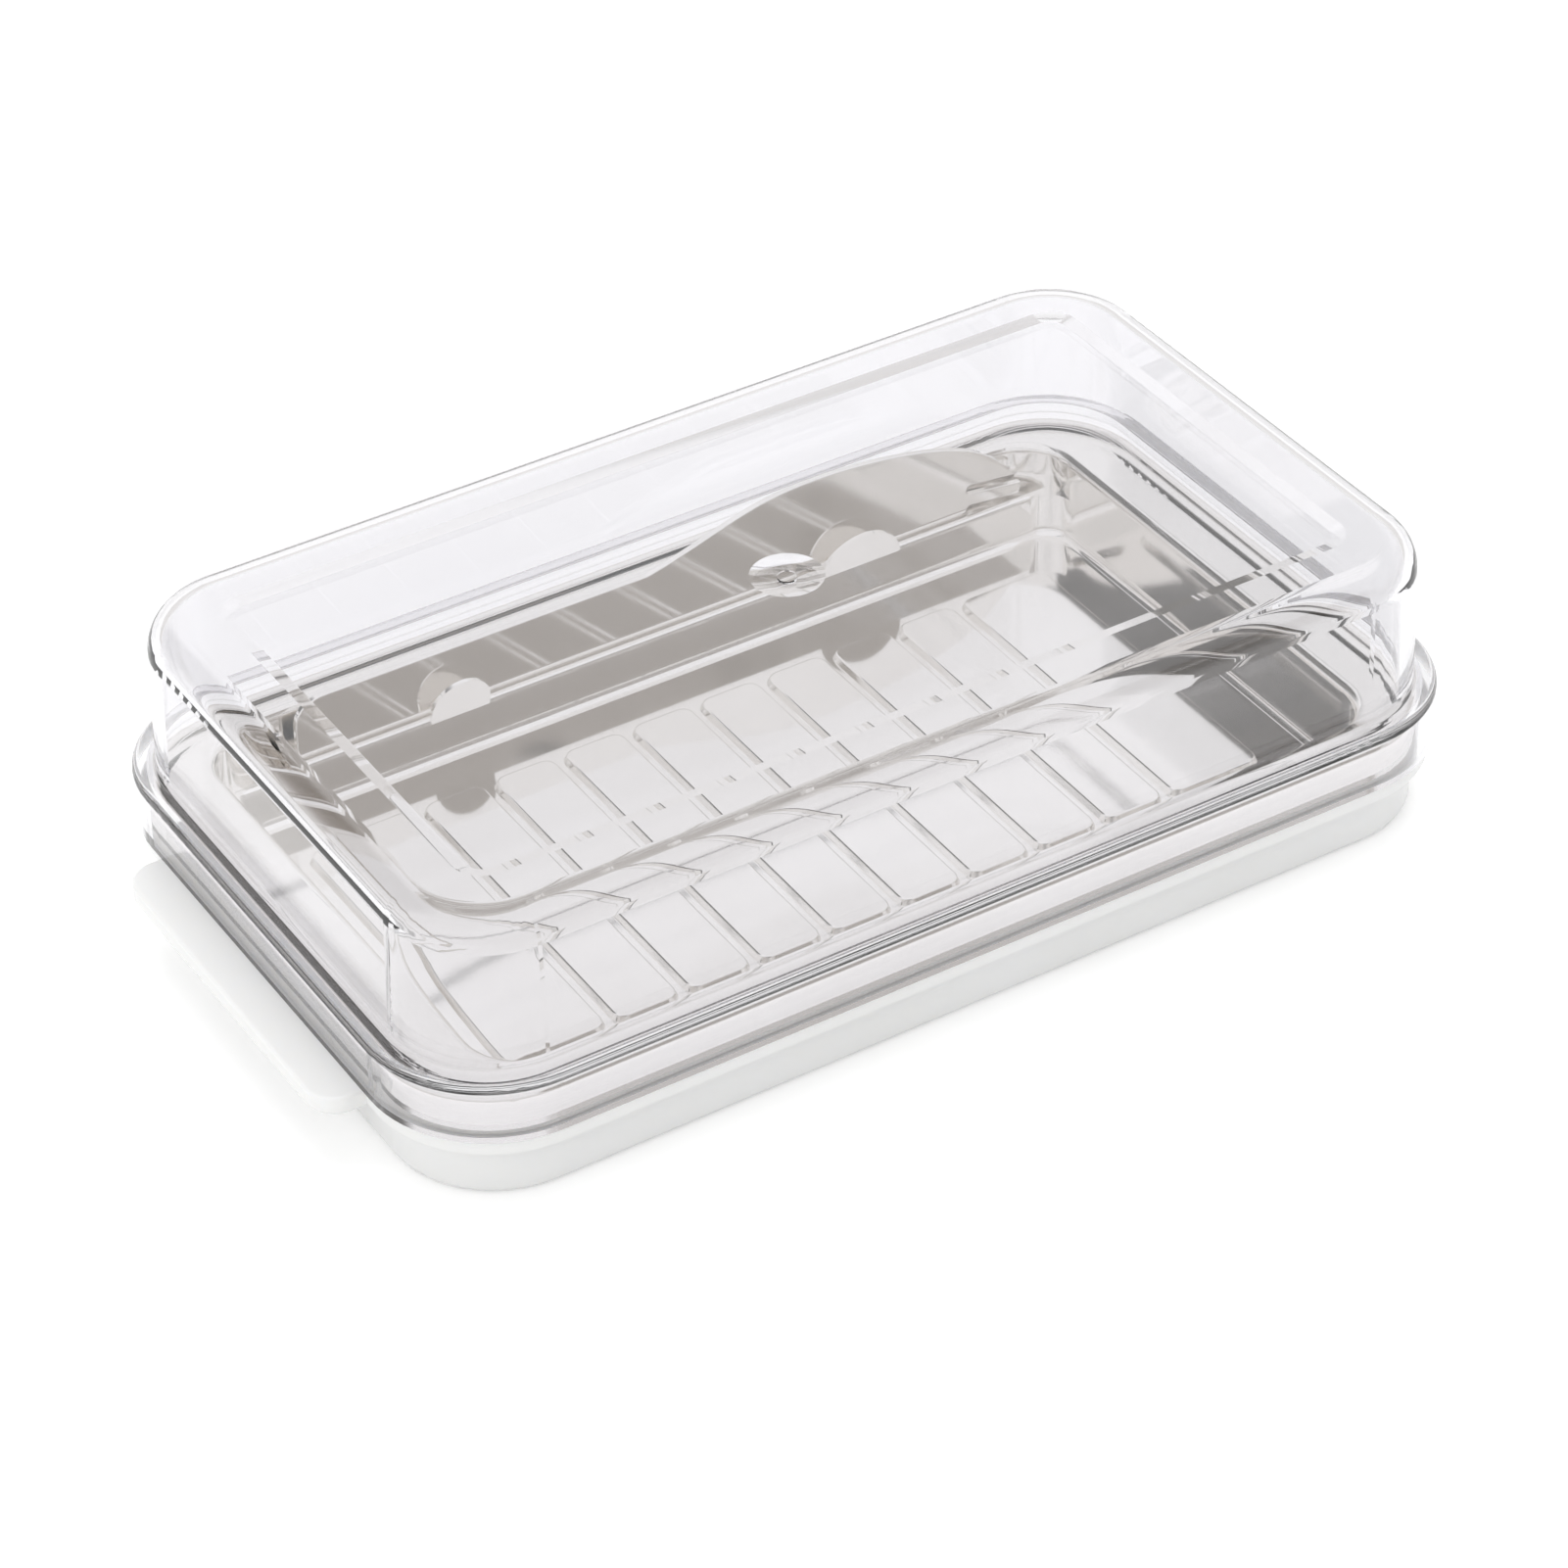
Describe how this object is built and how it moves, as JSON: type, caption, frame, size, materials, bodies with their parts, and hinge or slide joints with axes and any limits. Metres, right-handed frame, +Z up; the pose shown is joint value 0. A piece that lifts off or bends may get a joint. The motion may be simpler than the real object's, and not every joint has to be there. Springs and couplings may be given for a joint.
{
  "type": "butter case",
  "caption": "Long low butter case: white base with a grip tab, pressed steel tray with slice marks, clear stepped lid and a flat fork-tipped knife stored on edge.",
  "frame": {"origin": "centre of the base's flat underside, on the table", "axes": "+X along the long side, away from the grip tab; +Y towards the side where the knife is stored; +Z up, the way the lid lifts"},
  "size_m": [0.1754, 0.1014, 0.044],
  "materials": {
    "white_plastic": "slightly translucent white, satin",
    "tray_steel": "polished stainless sheet",
    "clear_plastic": "clear, glossy, faint lavender tint",
    "knife_steel": "polished stainless plate"
  },
  "bodies": {
    "base": {"base": "white_plastic"},
    "tray": {"tray": "tray_steel"},
    "lid": {"lid": "clear_plastic"},
    "knife": {"knife": "knife_steel"}
  },
  "joints": [
    {"name": "tray_lift", "type": "slide", "parent": "base", "child": "tray", "axis": [0, 0, 1], "range_m": [0, 0.04]},
    {"name": "lid_lift", "type": "slide", "parent": "tray", "child": "lid", "axis": [0, 0, 1], "range_m": [0, 0.06]},
    {"name": "knife_lift", "type": "slide", "parent": "tray", "child": "knife", "axis": [0, 0, 1], "range_m": [0, 0.013]}
  ]
}
